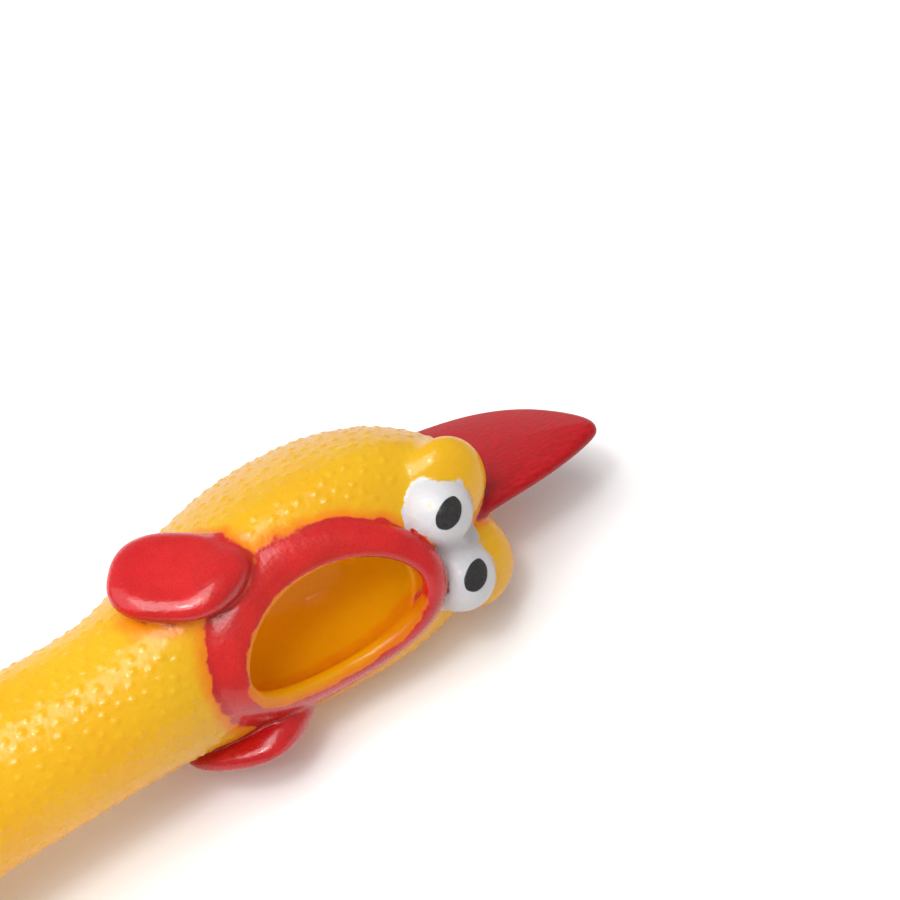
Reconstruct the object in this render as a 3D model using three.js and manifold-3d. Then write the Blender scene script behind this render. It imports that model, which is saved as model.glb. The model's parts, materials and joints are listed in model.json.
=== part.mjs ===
// A squeaking rubber chicken: a hollow soft-vinyl skin with a reed whistle in its throat, lying on its side.
//
// The skin is modelled in the chicken's own axes, in millimetres: +x runs up the body from the feet to the
// comb, +y points to its back (so it faces -y), and +z points to its right. The last lines roll it over onto
// its left side and lay it on z = 0, which gives the part's frame: +X to the head, +Z up. Where the soft skin
// rests on the floor it is pressed flat.
import * as THREE from 'three';
import { mergeVertices } from 'three/addons/utils/BufferGeometryUtils.js';
import Module from 'manifold-3d';

const wasm = await Module();
wasm.setup();

// ---------- Driving dimensions ----------

const WALL = 2; // skin thickness
const GAP = 0.4; // clearance between neighbouring solids
const NECK_R = 20.8;
const NECK_BASE_R = 24;

// Where the skin flexes, as distances up the body from the mouth.
const HEAD_HINGE = -54;
const NECK_HINGE = -90;
const BASE_HINGE = -126;
const NECK_SWING = 30; // degrees each way, which sets the room between the segments
const AIR_HOLE_R = 9; // passage through the inner end of each segment

const HIP = [-220, -4, 20]; // right hip, mirrored for the left
const HIP_R = 16;
const LEG_SPLAY = 13; // degrees outward
const LEG_SWING = 30;
const LEG_LENGTH = 98; // hip to ankle
const LEG_END = LEG_LENGTH - 4; // where the leg's skin ends, above the ankle
// The leg's skin: [distance below the hip, radius].
const LEG_PROFILE = [[10, 16.2], [24, 14.6], [40, 10.6], [58, 8.2], [LEG_END, 7.4]];
const HIP_ROOM = 0.6; // clearance round the swinging hip
const ANKLE_R = 6.2;

// Toes are tapered rods under the ankle: [length, degrees from straight ahead, radius at the root].
const TOES = [[36, -24, 4.6], [40, 0, 4.8], [36, 24, 4.6], [26, 180, 4.4]];
const TOE_TAPER = [[0.45, 0.8], [0.8, 0.75]]; // [share of the length, share of the root's radius]
const TOE_TIP = { length: 1.2, share: 0.4 };
const TOE_DROP = 9.5; // from the ankle to the toes' middle line
const FOOT_THICKNESS = 0.8; // toes are a little flatter than they are wide

const EYE = [27.5, -10, 10.7]; // middle of the right eye
const EYE_SIZE = [9.6, 12, 9.6]; // half sizes
const BROW = [33.7, -7.9, 13.8]; // middle of the hood over the right eye
const BROW_SIZE = [10.6, 7, 12];
const PUPIL_SIZE = [4.4, 2.9];
const PUPIL_DEPTH = 0.7; // thickness of the printed pupil
const PUPIL_TILT = 33; // degrees from upright, towards its right
const RIGHT_LOOK = [0, -0.96, 0.29]; // the printed pupils both look a little to its right
const LEFT_LOOK = [0.13, -0.93, 0.33];

const BELLY = { x: -188, length: 33, width: 27 }; // the belly panel that is squeezed in, an oval
const ROLL = -30; // degrees about +x, from lying square on the left side
const PITCH = 2.8; // degrees, head down, until the head, the left wing and the left foot all touch
const AXIS_HEIGHT = 33.1; // the chicken's origin above the floor, which presses its lowest parts flat

// Section rows: [x, depth to the front, depth to the back, half width].
const HEAD_ROWS = [
  [-62, 20.8, 21.5, 20.8],
  [-46, 19.5, 29, 23],
  [-30, 17, 38, 27.5],
  [-12, 16, 43, 30.5],
  [8, 16.5, 42, 31],
  [24, 14, 35, 28],
  [36, 9.5, 25, 21],
  [43, 5, 14, 11.5],
  [45, 0.5, 0.5, 0.5],
];
const TORSO_ROWS = [
  [-138, 26.5, 25, 26.5],
  [-150, 32, 28, 32],
  [-168, 39, 31, 37.5],
  [-188, 42, 32, 40],
  [-206, 39, 31, 39],
  [-222, 31, 28, 34],
  [-235, 18, 19, 23],
  [-241, 0.5, 0.5, 0.5],
];

// The mouth, an egg that is widest at its lower end. Its rim runs through these sizes at the lips' crest.
const MOUTH = { x: -10.2, length: 29.2, width: 19.5, egg: 0.03, front: 18, slope: 0.05, sag: 0.018 };
const LIP_FLARE = 0.8; // how far the lips lean outward, as a slope
const LIP_LOW = 7.6; // half width of the lip at its lower end
const LIP_HIGH = 3.8;
const LIP_HEIGHT = 2.9;
const MOUTH_DEPTH = 30;
const MOUTH_TOP = 12; // height to which tools reach out of the mouth
// The mouth's cavity: [height above the rim's plane, share of the rim's size, share of the rim's curve].
const CAVITY_LEVELS = [[-10, 0.84, 0.4], [-20, 0.8, 0], [-26, 0.66, 0], [-MOUTH_DEPTH, 0.36, 0]];
const CAVITY_TOP_SHARE = 0.82;

const WHISTLE = { x: -39.5, y: 1, radius: 8.6, length: 24, flange: 10.6, bore: 6 };
const WHISTLE_WALL = 1.6;
const FLANGE_THICKNESS = 2;
const STEP_DEPTH = 3; // how far below the flange the bore widens
const CAP = { thickness: 2, hole: 3 };
const SLEEVE = { below: 17, above: 3 }; // how far the throat's sleeve reaches from the whistle's top
const REED_BASE = { low: 18, high: 5 }; // below the whistle's top
const AIRWAY = { half: 3.5, bed: 1.4, clamp: 0.6, step: 8, window: [14, 9, 2.2] };
const REED = { low: 17, high: 6, halfWidth: 2.9, halfThickness: 0.2 };

const WATTLE = [-37.5, -3.5, 26.5]; // middle of the right wattle
const WATTLE_SIZE = [17, 14, 5.4];
const WATTLE_SWEEP = -24; // degrees

// The comb, a fin on the middle plane with its highest point at the front: [x, distance to the front].
const COMB_OUTLINE = [
  [36, 9],
  [60, 8],
  [75, 5],
  [80, 1],
  [78, -8],
  [71, -20],
  [61, -29],
  [48, -35],
  [34, -38],
  [20, -36],
  [24, -10],
];
const COMB_HALF = 3;
const COMB_BEVEL = [1.2, 1.5]; // across its thickness, along its face

// A wing hugs the torso's side, from the shoulder down to three feather tips: [x, y].
const WING_THICK = 5;
const WING_ROOM = 0.6; // clearance from the torso
const WING_OUTLINE = [
  [-146, -8],
  [-142, 4],
  [-147, 16],
  [-162, 23],
  [-180, 24],
  [-186, 19],
  [-194, 19],
  [-196, 11],
  [-202, 7],
  [-198, 0],
  [-184, -9],
  [-164, -13],
];

const TAIL = [-224, 27, 0];
const TAIL_SIZE = [15, 11, 9];
const TAIL_RISE = -35; // degrees

// ---------- Solids ----------

function solid(geometry) {
  const bare = geometry.index ? geometry.toNonIndexed() : geometry.clone();
  bare.deleteAttribute('normal');
  bare.deleteAttribute('uv');
  const merged = mergeVertices(bare, 1e-4);
  const vertProperties = merged.attributes.position.array;
  const triVerts = new Uint32Array(merged.index.array);
  const made = new wasm.Manifold(new wasm.Mesh({ numProp: 3, vertProperties, triVerts }));
  if (made.volume() > 0) return made;
  triVerts.reverse();
  return new wasm.Manifold(new wasm.Mesh({ numProp: 3, vertProperties, triVerts }));
}

function geometryOf(manifold) {
  const mesh = manifold.getMesh();
  const positions = new Float32Array(mesh.numVert * 3);
  for (let i = 0; i < mesh.numVert; i++) {
    for (let k = 0; k < 3; k++) positions[3 * i + k] = mesh.vertProperties[mesh.numProp * i + k];
  }
  const geometry = new THREE.BufferGeometry();
  geometry.setAttribute('position', new THREE.BufferAttribute(positions, 3));
  geometry.setIndex(new THREE.BufferAttribute(new Uint32Array(mesh.triVerts), 1));
  const flat = geometry.toNonIndexed();
  flat.computeVertexNormals();
  return flat;
}

const cut = (whole, ...tools) => tools.reduce((left, tool) => left.subtract(tool), whole);
const join = (first, ...rest) => rest.reduce((sum, piece) => sum.add(piece), first);

// The mirror image across the chicken's middle plane.
const mirrored = (piece) => piece.mirror([0, 0, 1]);

// A point on the uniform Catmull-Rom spline through rows of numbers, at row position t.
function rowAt(rows, t) {
  const i = Math.min(Math.floor(t), rows.length - 2);
  const s = t - i;
  const at = (k) => rows[Math.max(0, Math.min(rows.length - 1, k))];
  return rows[0].map((_, c) => {
    const [a, b, d, e] = [at(i - 1)[c], at(i)[c], at(i + 1)[c], at(i + 2)[c]];
    return b + 0.5 * s * (d - a + s * (2 * a - 5 * b + 4 * d - e + s * (3 * (b - d) + e - a)));
  });
}

// A closed surface through rings of points: capped at both ends, or wrapped from the last ring to the first.
function loft(rings, wrap = false) {
  const count = rings[0].length;
  const points = rings.flat();
  const index = [];
  const bands = wrap ? rings.length : rings.length - 1;
  for (let i = 0; i < bands; i++) {
    const [a, b] = [i * count, ((i + 1) % rings.length) * count];
    for (let j = 0; j < count; j++) {
      const k = (j + 1) % count;
      index.push(a + j, a + k, b + k, a + j, b + k, b + j);
    }
  }
  if (!wrap) {
    for (const [ring, start, turn] of [[rings[0], 0, 1], [rings.at(-1), points.length - count, -1]]) {
      const middle = ring.reduce((sum, p) => sum.add(p), new THREE.Vector3()).divideScalar(count);
      points.push(middle);
      for (let j = 0; j < count; j++) {
        const pair = [start + j, start + ((j + 1) % count)];
        if (turn > 0) pair.reverse();
        index.push(points.length - 1, ...pair);
      }
    }
  }
  const geometry = new THREE.BufferGeometry().setFromPoints(points);
  geometry.setIndex(index);
  return solid(geometry);
}

// One section of the body: front and back halves are half ellipses that share their width.
function sectionRing([x, front, back, half], grow, count) {
  return Array.from({ length: count }, (_, j) => {
    const turn = (j / count) * 2 * Math.PI;
    const depth = Math.max(0.2, (Math.cos(turn) > 0 ? front : back) + grow);
    const width = Math.max(0.2, half + grow);
    return new THREE.Vector3(x, -depth * Math.cos(turn), width * Math.sin(turn));
  });
}

// A body section loft, grown outward (or inward, when grow is negative). Its last row is a pole.
function bodyLoft(rows, grow, steps, count) {
  const [poleX, ...poleSize] = rows.at(-1);
  const moved = [...rows.slice(0, -1), [poleX + grow * poleWay(rows), ...poleSize]];
  return loft(
    Array.from({ length: steps + 1 }, (_, i) => {
      const row = rowAt(moved, (i / steps) * (rows.length - 1));
      return sectionRing(row, grow, count);
    }),
  );
}
const poleWay = (rows) => Math.sign(rows.at(-1)[0] - rows[0][0]);

const ball = (at, r, [wide, high] = [16, 10]) => solid(new THREE.SphereGeometry(r, wide, high)).translate(at);

const egg = (at, size, grow = 0, detail = [16, 10]) =>
  ball([0, 0, 0], 1, detail).scale(size.map((half) => half + grow)).translate(at);

function box(low, high) {
  const size = high.map((h, i) => h - low[i]);
  const middle = high.map((h, i) => (h + low[i]) / 2);
  return solid(new THREE.BoxGeometry(...size)).translate(middle);
}

// A solid turned about the x axis from a closed profile of [x, radius] points.
const turned = (profile, segments = 20) =>
  solid(
    new THREE.LatheGeometry(
      [...profile, profile[0]].map(([x, r]) => new THREE.Vector2(r, x)),
      segments,
    ).rotateZ(-Math.PI / 2),
  );

const rod = (x0, x1, r, segments = 16) => turned([[x0, 0], [x1, 0], [x1, r], [x0, r]], segments);

// Points on a circle about (x, 0) in the profile plane, from one angle to another in degrees from -x.
function arc(x, r, from, to, steps) {
  return Array.from({ length: steps + 1 }, (_, i) => {
    const turn = THREE.MathUtils.degToRad(from + ((to - from) * i) / steps);
    return [x - r * Math.cos(turn), r * Math.sin(turn)];
  });
}

// The inner end of a flexing segment: a dome about its hinge with an air hole, from outside to inside.
function domeEnd(hinge, r) {
  const hole = (radius) => THREE.MathUtils.radToDeg(Math.asin(AIR_HOLE_R / radius));
  return [...arc(hinge, r, 90, hole(r), 4), ...arc(hinge, r - WALL, hole(r - WALL), 90, 4)];
}

// How far below its hinge the lower segment stops, so that the upper one can swing.
const mouthDrop = (r) => r * Math.sin(THREE.MathUtils.degToRad(NECK_SWING)) + GAP;

// Everything that a piece sweeps as it swings about an axis through a point.
function swept(piece, point, axis, degrees) {
  const back = point.map((v) => -v);
  return [-1, -0.5, 0, 0.5, 1].map((share) => {
    const turn = axis.map((a) => a * degrees * share);
    return piece.translate(back).rotate(turn).translate(point);
  });
}

// ---------- Head ----------

const brow = (grow) => egg(BROW, BROW_SIZE, grow);
const headOuter = (grow) => join(bodyLoft(HEAD_ROWS, grow, 13, 24), brow(grow), mirrored(brow(grow)));

// A point on the mouth's rim, at an angle from its upper end.
function rim(turn) {
  const x = MOUTH.x + MOUTH.length * Math.cos(turn);
  const z = MOUTH.width * Math.sin(turn) * (1 - MOUTH.egg * Math.cos(turn));
  const y = -(MOUTH.front + MOUTH.slope * (x - MOUTH.x) - MOUTH.sag * z * z);
  return new THREE.Vector3(x, y, z);
}

function lips(grow, around = 28, section = 10) {
  const rings = Array.from({ length: around }, (_, i) => {
    const turn = (i / around) * 2 * Math.PI;
    const here = rim(turn);
    const ahead = rim(turn + 0.01).sub(here).normalize();
    const outward = new THREE.Vector3(here.x - MOUTH.x, 0, here.z).normalize();
    const out = new THREE.Vector3(0, -1, 0).addScaledVector(outward, LIP_FLARE).normalize();
    const side = new THREE.Vector3().crossVectors(ahead, out).normalize();
    const half = (LIP_LOW + LIP_HIGH) / 2 - ((LIP_LOW - LIP_HIGH) / 2) * Math.cos(turn) + grow;
    return Array.from({ length: section }, (_, j) => {
      const a = (j / section) * 2 * Math.PI;
      return here
        .clone()
        .addScaledVector(side, half * Math.cos(a))
        .addScaledVector(out, (LIP_HEIGHT + grow) * Math.sin(a));
    });
  });
  return loft(rings, true);
}

// The mouth's cavity, rounded at its floor. Its upper end follows the lips, at a height above the rim.
function cavity(grow, top) {
  const rings = [[top, CAVITY_TOP_SHARE, 1], ...CAVITY_LEVELS].map(([lift, scale, follow]) =>
    Array.from({ length: 18 }, (_, j) => {
      const p = rim((j / 18) * 2 * Math.PI);
      const depth = lift < -MOUTH_DEPTH / 2 ? lift * (1 + grow / MOUTH_DEPTH) : lift;
      return new THREE.Vector3(
        MOUTH.x + (p.x - MOUTH.x) * (scale + grow / MOUTH.length),
        -(MOUTH.front + depth) + follow * (p.y + MOUTH.front),
        p.z * (scale + grow / MOUTH.width),
      );
    }),
  );
  return loft(rings);
}

const neckStub = turned([...domeEnd(HEAD_HINGE, NECK_R), [-44, NECK_R - WALL], [-44, NECK_R]]);
const aboveHinge = box([HEAD_HINGE, -60, -60], [90, 60, 60]);

const lipRing = lips(0);
const skullShell = cut(
  headOuter(0).intersect(aboveHinge),
  bodyLoft(HEAD_ROWS, -WALL, 11, 20),
);
const headSkin = cut(
  join(skullShell, cut(neckStub, aboveHinge)),
  lips(GAP),
  cavity(WALL + GAP, MOUTH_TOP),
);

// The lining is the mouth's wall, with a sleeve behind its throat that grips the whistle and its flange.
const { x: wx, radius: wr, length: wl, flange: wf, bore: wb } = WHISTLE;
const sleeve = rod(wx - SLEEVE.below, wx + SLEEVE.above, wf + GAP + WALL);
const whistleRoom = join(
  rod(wx - FLANGE_THICKNESS - GAP, wx + GAP, wf + GAP),
  rod(wx - wl, wx, wr + GAP),
  rod(wx, wx + MOUTH_DEPTH / 2, wb + GAP),
);
const onThroat = (piece) => piece.translate([0, WHISTLE.y, 0]);
const mouthLining = cut(
  join(cavity(WALL, 0), onThroat(sleeve)),
  cavity(0, MOUTH_TOP),
  lips(GAP),
  onThroat(whistleRoom),
);

const eyeWhite = cut(egg(EYE, EYE_SIZE), headOuter(GAP), lips(GAP));

// A pupil lies on the eye's surface where the eye looks.
function pupil(eye, look) {
  const ahead = new THREE.Vector3(...look).normalize();
  const tilt = THREE.MathUtils.degToRad(PUPIL_TILT);
  const long = new THREE.Vector3(Math.cos(tilt), 0, Math.sin(tilt)).projectOnPlane(ahead).normalize();
  const place = new THREE.Matrix4().makeBasis(ahead, long, ahead.clone().cross(long)).setPosition(...eye);
  const beam = rod(0, 40, 1, 16).scale([1, ...PUPIL_SIZE]).transform(place.elements);
  return cut(egg(eye, EYE_SIZE, GAP + PUPIL_DEPTH), egg(eye, EYE_SIZE, GAP)).intersect(beam);
}
const leftEye = [EYE[0], EYE[1], -EYE[2]];

const combShape = new THREE.Shape(
  new THREE.SplineCurve(COMB_OUTLINE.map(([x, front]) => new THREE.Vector2(x, -front))).getPoints(20),
);
const comb = cut(
  solid(
    new THREE.ExtrudeGeometry(combShape, {
      depth: 2 * (COMB_HALF - COMB_BEVEL[0]),
      bevelThickness: COMB_BEVEL[0],
      bevelSize: COMB_BEVEL[1],
      bevelOffset: -COMB_BEVEL[1],
      bevelSegments: 1,
    }).translate(0, 0, COMB_BEVEL[0] - COMB_HALF),
  ),
  headOuter(GAP),
);

const wattle = cut(
  egg([0, 0, 0], WATTLE_SIZE, 0, [16, 10]).rotate([0, 0, WATTLE_SWEEP]).translate(WATTLE),
  headOuter(GAP),
  lips(GAP),
  rod(-120, -40, NECK_R + 1.2),
);

// ---------- Whistle ----------

const whistleBody = onThroat(
  turned(
    [
      [wx, wf],
      [wx - FLANGE_THICKNESS, wf],
      [wx - FLANGE_THICKNESS, wr],
      [wx - wl, wr],
      [wx - wl, wr - WHISTLE_WALL],
      [wx - STEP_DEPTH, wr - WHISTLE_WALL],
      [wx - STEP_DEPTH, wb],
      [wx, wb],
    ],
    16,
  ),
);
// The reed's base is a plug with an airway across it. The reed lies over it, clamped at its upper end.
const [windowLow, windowHigh, windowHalf] = AIRWAY.window;
const reedBase = onThroat(
  cut(
    rod(wx - REED_BASE.low, wx - REED_BASE.high, wr - WHISTLE_WALL - GAP),
    box([wx - REED_BASE.low - 1, -AIRWAY.bed, -AIRWAY.half], [wx - AIRWAY.step, wr, AIRWAY.half]),
    box([wx - AIRWAY.step - 0.1, -AIRWAY.clamp, -AIRWAY.half], [wx - REED_BASE.high + 1, wr, AIRWAY.half]),
    box([wx - windowLow, -wr, -windowHalf], [wx - windowHigh, 0, windowHalf]),
  ),
);
const reedTongue = onThroat(
  box(
    [wx - REED.low, -REED.halfThickness, -REED.halfWidth],
    [wx - REED.high, REED.halfThickness, REED.halfWidth],
  ),
);
const whistleCap = onThroat(
  cut(
    rod(wx - wl - GAP - CAP.thickness, wx - wl - GAP, wr),
    rod(wx - wl - 2 * CAP.thickness, wx - wl + CAP.thickness, CAP.hole, 12),
  ),
);

// ---------- Neck ----------

// A neck segment: a tube from its open top down to the dome about its lower hinge.
const neckSegment = (top, topR, hinge, hingeR) =>
  turned([[top, topR], ...domeEnd(hinge, hingeR), [top, topR - WALL]].reverse());

const neckUpper = neckSegment(HEAD_HINGE - mouthDrop(NECK_R), NECK_R, NECK_HINGE, NECK_R);
const neckLower = neckSegment(NECK_HINGE - mouthDrop(NECK_R), NECK_R, BASE_HINGE, NECK_BASE_R);

// ---------- Legs and feet ----------

// A leg hangs from the hip along -x, turned outward by its splay.
const asRightLeg = (piece) => piece.rotate([0, LEG_SPLAY, 0]).translate(HIP);
const legOuter = (grow) =>
  join(
    turned([[0, 0], [0, HIP_R + grow], ...LEG_PROFILE.map(([d, r]) => [-d, r + grow]), [-LEG_END, 0]], 14),
    ball([0, 0, 0], HIP_R + grow, [14, 8]),
  );
const legShell = cut(
  turned(
    [
      ...arc(0, HIP_R, 148, 90, 4),
      ...LEG_PROFILE.map(([d, r]) => [-d, r]),
      ...LEG_PROFILE.map(([d, r]) => [-d, r - WALL]).reverse(),
      ...arc(0, HIP_R - WALL, 90, 140, 3),
    ],
    16,
  ),
  ball([-LEG_LENGTH, 0, 0], ANKLE_R + GAP, [12, 8]),
);
const rightLeg = asRightLeg(legShell);
const hipRoom = swept(legOuter(HIP_ROOM), [0, 0, 0], [0, 0, 1], LEG_SWING).map(asRightLeg);

function toe([length, turn, r]) {
  const taper = TOE_TAPER.map(([along, share]) => [length * along, r * share]).reverse();
  const profile = [[0, 0], [length, 0], [length - TOE_TIP.length, r * TOE_TIP.share], ...taper, [0, r]];
  return turned(profile, 8)
    .rotate([0, 0, -90])
    .rotate([turn, 0, 0])
    .scale([FOOT_THICKNESS, 1, 1])
    .translate([-TOE_DROP, 0, 0]);
}
const footLocal = join(
  ball([0, 0, 0], ANKLE_R, [12, 8]),
  turned([[0.5, 0], [0.5, 5.2], [-9, 5.6], [-12, 4], [-12, 0]], 10),
  ...TOES.map(toe),
);
const rightFoot = asRightLeg(footLocal.translate([-LEG_LENGTH, 0, 0]));

// ---------- Torso ----------

const torsoOuter = (grow) => bodyLoft(TORSO_ROWS, grow, 13, 24);
const torsoShell = cut(
  torsoOuter(0),
  bodyLoft([[-130, ...TORSO_ROWS[0].slice(1)], ...TORSO_ROWS], -WALL, 12, 20),
  ...hipRoom,
  ...hipRoom.map(mirrored),
);
const bellyCutter = (grow) =>
  rod(-80, 0, 1, 24)
    .scale([1, BELLY.length + grow, BELLY.width + grow])
    .rotate([0, 0, 90])
    .translate([BELLY.x, 0, 0]);
const torsoSkin = cut(torsoShell, bellyCutter(GAP / 2));
const bellyPanel = torsoShell.intersect(bellyCutter(-GAP / 2));

const wingLine = [...WING_OUTLINE, WING_OUTLINE[0]].map(([x, y]) => new THREE.Vector2(x, y));
const wingShape = new THREE.Shape(new THREE.SplineCurve(wingLine).getPoints(24));
const rightWing = cut(torsoOuter(WING_THICK), torsoOuter(WING_ROOM)).intersect(
  solid(new THREE.ExtrudeGeometry(wingShape, { depth: 60, bevelEnabled: false })),
);

const tail = cut(
  egg([0, 0, 0], TAIL_SIZE, 0, [14, 8]).rotate([0, 0, TAIL_RISE]).translate(TAIL),
  torsoOuter(GAP),
  ...hipRoom,
  ...hipRoom.map(mirrored),
);

// ---------- Assembly ----------

const vinyl = (color) => new THREE.MeshStandardMaterial({ color, roughness: 0.32, metalness: 0 });
const yellow = vinyl(0xf2b51d);
const orange = vinyl(0xde8c0a);
const red = vinyl(0xd8232a);
const white = vinyl(0xf0f0ee);
const black = vinyl(0x17130f);
const plastic = new THREE.MeshStandardMaterial({ color: 0xe9e6da, roughness: 0.4, metalness: 0 });
const film = new THREE.MeshStandardMaterial({ color: 0xd0d6da, roughness: 0.2, metalness: 0 });

// Everything under the floor, in the chicken's own axes.
const floor = box([-400, -200, -200], [200, 200, -AXIS_HEIGHT]).rotate([0, -PITCH, 0]).rotate([-ROLL, 0, 0]);

const chicken = new THREE.Group();
function add(name, piece, material) {
  const mesh = new THREE.Mesh(geometryOf(cut(piece, floor)), material);
  mesh.name = name;
  chicken.add(mesh);
}
function addPair(name, piece, material) {
  add(name + '_right', piece, material);
  add(name + '_left', mirrored(piece), material);
}

add('head_skin', headSkin, yellow);
add('mouth_lip', lipRing, red);
add('mouth_lining', mouthLining, orange);
add('comb', comb, red);
addPair('wattle', wattle, red);
addPair('eye', eyeWhite, white);
add('pupil_right', pupil(EYE, RIGHT_LOOK), black);
add('pupil_left', pupil(leftEye, LEFT_LOOK), black);
add('whistle_body', whistleBody, plastic);
add('whistle_cap', whistleCap, plastic);
add('reed_base', reedBase, plastic);
add('reed_tongue', reedTongue, film);
add('neck_upper_skin', neckUpper, yellow);
add('neck_lower_skin', neckLower, yellow);
add('torso_skin', torsoSkin, yellow);
add('belly_skin', bellyPanel, yellow);
addPair('wing', rightWing, yellow);
add('tail', tail, yellow);
addPair('leg', rightLeg, yellow);
addPair('foot', rightFoot, yellow);

const lying = new THREE.Group();
chicken.rotation.set(THREE.MathUtils.degToRad(ROLL), THREE.MathUtils.degToRad(PITCH), 0, 'YXZ');
lying.add(chicken);
const middle = new THREE.Box3().setFromObject(lying, true).getCenter(new THREE.Vector3());
chicken.position.set(-middle.x, -middle.y, AXIS_HEIGHT);

export default lying;
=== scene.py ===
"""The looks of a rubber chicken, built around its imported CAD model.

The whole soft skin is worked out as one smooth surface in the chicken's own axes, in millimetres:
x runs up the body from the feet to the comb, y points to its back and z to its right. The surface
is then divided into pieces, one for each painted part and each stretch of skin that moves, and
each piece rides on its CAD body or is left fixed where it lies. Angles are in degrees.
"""

import itertools
import json
import math

import bpy
import numpy as np
from mathutils import Matrix, Vector, kdtree


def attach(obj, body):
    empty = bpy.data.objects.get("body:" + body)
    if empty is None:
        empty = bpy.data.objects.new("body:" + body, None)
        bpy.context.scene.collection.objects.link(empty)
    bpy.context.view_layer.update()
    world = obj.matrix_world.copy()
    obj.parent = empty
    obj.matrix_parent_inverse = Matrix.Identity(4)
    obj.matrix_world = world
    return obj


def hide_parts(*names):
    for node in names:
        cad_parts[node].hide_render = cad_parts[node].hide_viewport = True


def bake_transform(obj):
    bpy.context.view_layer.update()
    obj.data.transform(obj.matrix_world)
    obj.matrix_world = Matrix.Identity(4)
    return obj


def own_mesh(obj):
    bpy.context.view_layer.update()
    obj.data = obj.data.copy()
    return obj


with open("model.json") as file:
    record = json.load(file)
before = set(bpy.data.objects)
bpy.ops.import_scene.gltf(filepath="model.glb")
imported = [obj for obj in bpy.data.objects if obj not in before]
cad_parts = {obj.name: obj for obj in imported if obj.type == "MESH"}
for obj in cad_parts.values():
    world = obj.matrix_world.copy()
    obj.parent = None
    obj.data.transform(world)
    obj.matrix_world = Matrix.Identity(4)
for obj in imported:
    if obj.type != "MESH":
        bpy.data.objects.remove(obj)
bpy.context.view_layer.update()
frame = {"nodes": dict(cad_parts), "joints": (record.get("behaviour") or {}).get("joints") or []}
rng = np.random.default_rng(7)

# ---------- Driving dimensions, in millimetres in the chicken's own axes ----------

STEP = 0.6  # the skin mesh's spacing
SKIN_BOX = ((-336, -54, -70), (86, 50, 70))
WING_BOX = ((-210, -22, 14), (-134, 32, 52))  # the right wing's
REAR_TOP = -190  # the tail, legs and feet are below this
FACE_LOW = -64  # the mouth, wattles, eyes and comb are above this

# Where the head's hinge lies up the body, and where the skin of the neck is divided into pieces.
HEAD_HINGE = -54
NECK_BORDERS = (-141, -103, -75, -48.5)

# Sections of the body: distance up the body, depth to the front, depth to the back, half width.
BODY_ROWS = [
    [-241, 0.5, 0.5, 0.5],
    [-235, 18, 19, 23],
    [-222, 31, 28, 34],
    [-206, 39, 31, 39],
    [-188, 42, 32, 40],
    [-168, 39, 31, 37.5],
    [-150, 32, 28, 32],
    [-138, 26.5, 25, 26.5],
    [-122, 23.4, 23, 23.4],
    [-104, 21.3, 21.3, 21.3],
    [-84, 20.8, 20.8, 20.8],
    [-62, 20.8, 21.5, 20.8],
    [-46, 19.5, 29, 23],
    [-30, 17, 38, 27.5],
    [-12, 16, 43, 30.5],
    [8, 16.5, 42, 31],
    [24, 14, 35, 28],
    [36, 9.5, 25, 21],
    [43, 5, 14, 11.5],
    [45, 0.5, 0.5, 0.5],
]

EYE = (27.5, -10, 10.7)
EYE_SIZE = (9.6, 12, 9.6)
BROW = (33.7, -7.9, 13.8)
BROW_SIZE = (10.6, 7, 12)
PUPIL_SIZE = (4.4, 2.9)
PUPIL_TILT = 33  # from upright, towards the chicken's right
PUPIL_PROUD, PUPIL_SUNK = 0.16, -0.15  # its face above the eyeball, and its edge below it
LOOKS = {"right": (0, -0.96, 0.29), "left": (0.13, -0.93, 0.33)}  # the way each pupil faces
BETWEEN_EYES = ((24, -17, 0), (13, 14, 10))  # the white painted there: its middle and its size

# The rim is an oval at the crest of the lips: its middle, half length and half width, then its
# height, its rise and how it curves back at its sides.
MOUTH_X, MOUTH_LENGTH, MOUTH_WIDTH = -10.2, 29.2, 19.5
MOUTH_FRONT, MOUTH_SLOPE, MOUTH_SAG = 18, 0.05, 0.018
MOUTH_DEPTH = 30
MOUTH_STRAIGHT = 6  # its walls close in below this depth
MOUTH_SHARE = 0.85  # the opening's size as a share of the rim's
PAINT_INNER = -2.6  # how far inside the crest of the lips the red paint ends
PAINT_SLANT = 1.5  # how much less that is on the left side
LIP_LOW, LIP_HIGH = 7.6, 3.8  # half widths of the lips at their lower and upper ends
LIP_HEIGHT, LIP_FLARE = 2.9, 0.8
THROAT = (1, 6.4)  # the throat hole's place and radius
THROAT_TOP = -20
WHISTLE_TOP = -39.5

WATTLE = (-37.5, -3.5, 26.5)
WATTLE_SIZE = (15.4, 12.4, 4.2)
WATTLE_POWER = 2.5  # 2 is an ellipse, and more is squarer
WATTLE_DISH = 0.9
WATTLE_SWEEP = 38
WATTLE_LIFT = 20  # the right one's back edge, off the neck
WATTLE_PRESSED = 2  # the left one, by the floor
WATTLE_ROOT = (-27, -9, 23)
WATTLE_ROOT_SIZE = (9, 6, 4.4)
WATTLE_ROOT_TURN = 20
COMB_OUTLINE = [
    [36, -9], [60, -8], [75, -5], [80, -1], [78, 8], [71, 20],
    [61, 29], [48, 35], [34, 38], [20, 36], [24, 10],
]
COMB_HALF = (1.7, 3.3)  # half thickness at its edge and in its middle
COMB_TAPER = 7  # how soon it thickens inward

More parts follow.
